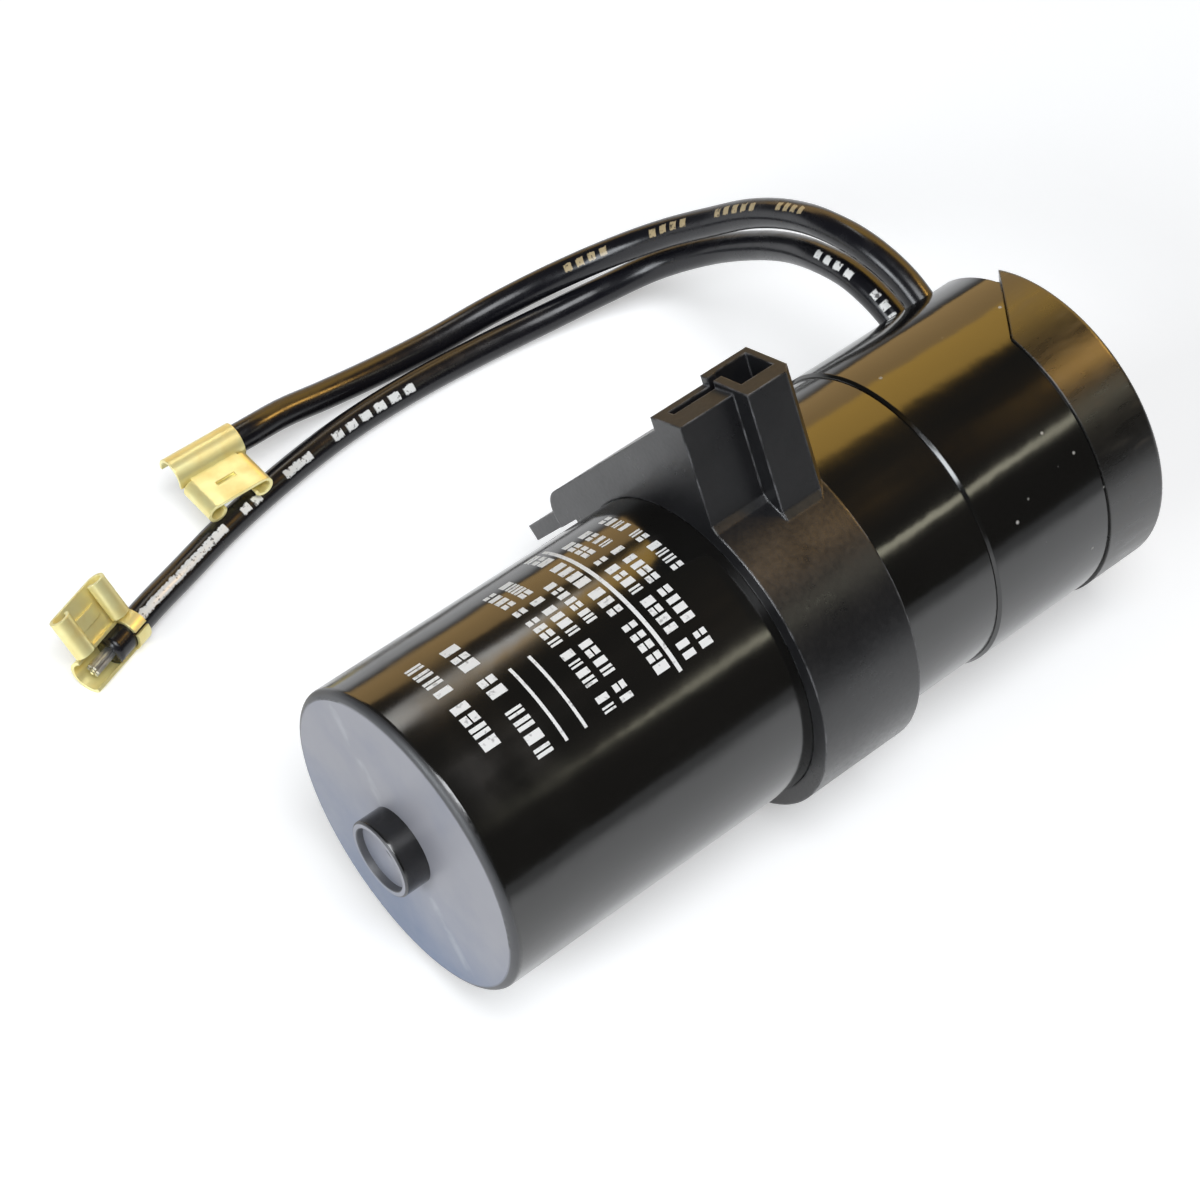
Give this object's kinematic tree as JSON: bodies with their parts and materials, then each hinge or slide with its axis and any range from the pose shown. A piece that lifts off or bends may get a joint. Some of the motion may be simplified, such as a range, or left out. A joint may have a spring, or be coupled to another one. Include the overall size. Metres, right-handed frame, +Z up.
{
  "type": "motor start capacitor",
  "caption": "Round capacitor in a moulded black case with a terminal cover, a mounting clip and flying leads with flag receptacles.",
  "frame": {"origin": "on the surface that the part rests on, below the middle of the body without its leads", "axes": "+X along the can from its closed end to its terminal cover, +Z up, +Y towards the clip's mounting plate and the leads"},
  "size_m": [0.0966, 0.0872, 0.051],
  "materials": {
    "case": "glossy moulded",
    "wound_paper": "wound paper and foil",
    "foil": "plain",
    "seal": "matt",
    "deck": "matt",
    "tab": "tinned",
    "receptacle": "bright",
    "cover": "glossy moulded",
    "lid": "matt moulded, scuffed",
    "clip": "matt moulded",
    "insulation": "semi-gloss"
  },
  "bodies": {
    "root": {"case": "case", "wound_element": "wound_paper", "foil_tab_a": "foil", "foil_tab_b": "foil", "deck_gasket": "seal", "terminal_deck": "deck", "vent_plug": "seal", "terminal_a": "tab", "terminal_b": "tab", "rivet_a": "tab", "rivet_b": "tab", "inner_receptacle_a": "receptacle", "inner_receptacle_b": "receptacle", "terminal_sleeve": "cover", "end_lid": "lid", "clip": "clip", "lead_a": "insulation", "lead_b": "insulation", "receptacle_a": "receptacle", "receptacle_b": "receptacle"}
  },
  "joints": []
}
